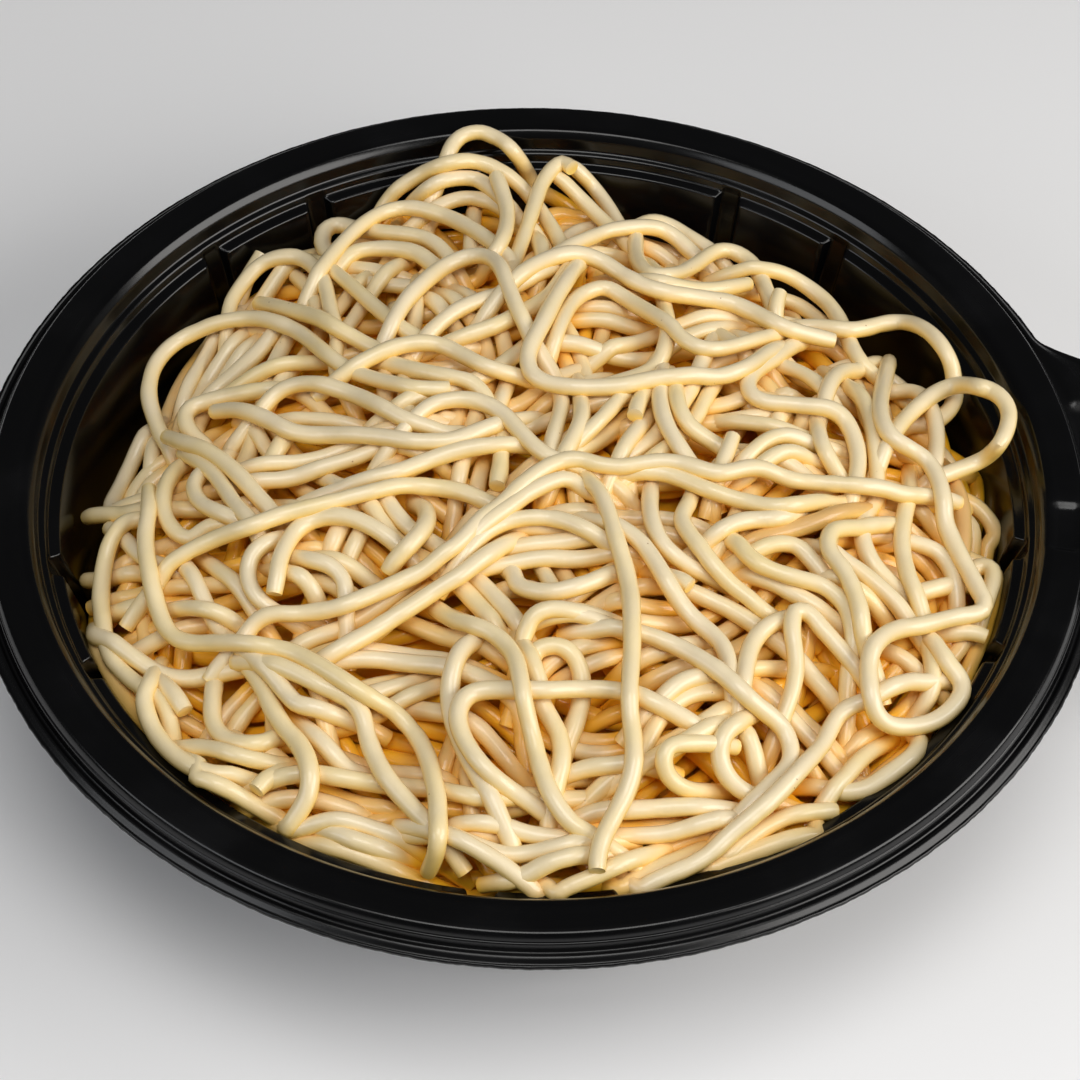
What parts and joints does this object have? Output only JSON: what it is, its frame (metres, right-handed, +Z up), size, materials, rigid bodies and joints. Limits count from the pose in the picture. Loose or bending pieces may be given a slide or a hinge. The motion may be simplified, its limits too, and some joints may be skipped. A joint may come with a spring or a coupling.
{
  "type": "takeaway noodle tray",
  "caption": "Round black moulded takeaway tray with a flat rim, a fluted wall and a pull tab, heaped with plain cooked noodles.",
  "frame": {"origin": "centre of the tray's flat underside", "axes": "+Z up, +X out through the pull tab's side, +Y away from the viewer in the picture"},
  "size_m": [0.2011, 0.1922, 0.0543],
  "materials": {
    "black_plastic": "glossy moulded sheet with a satin rim",
    "cooked_noodle": "moist, soft gloss"
  },
  "bodies": {
    "root": {"tray": "black_plastic", "noodles": "cooked_noodle"}
  },
  "joints": []
}
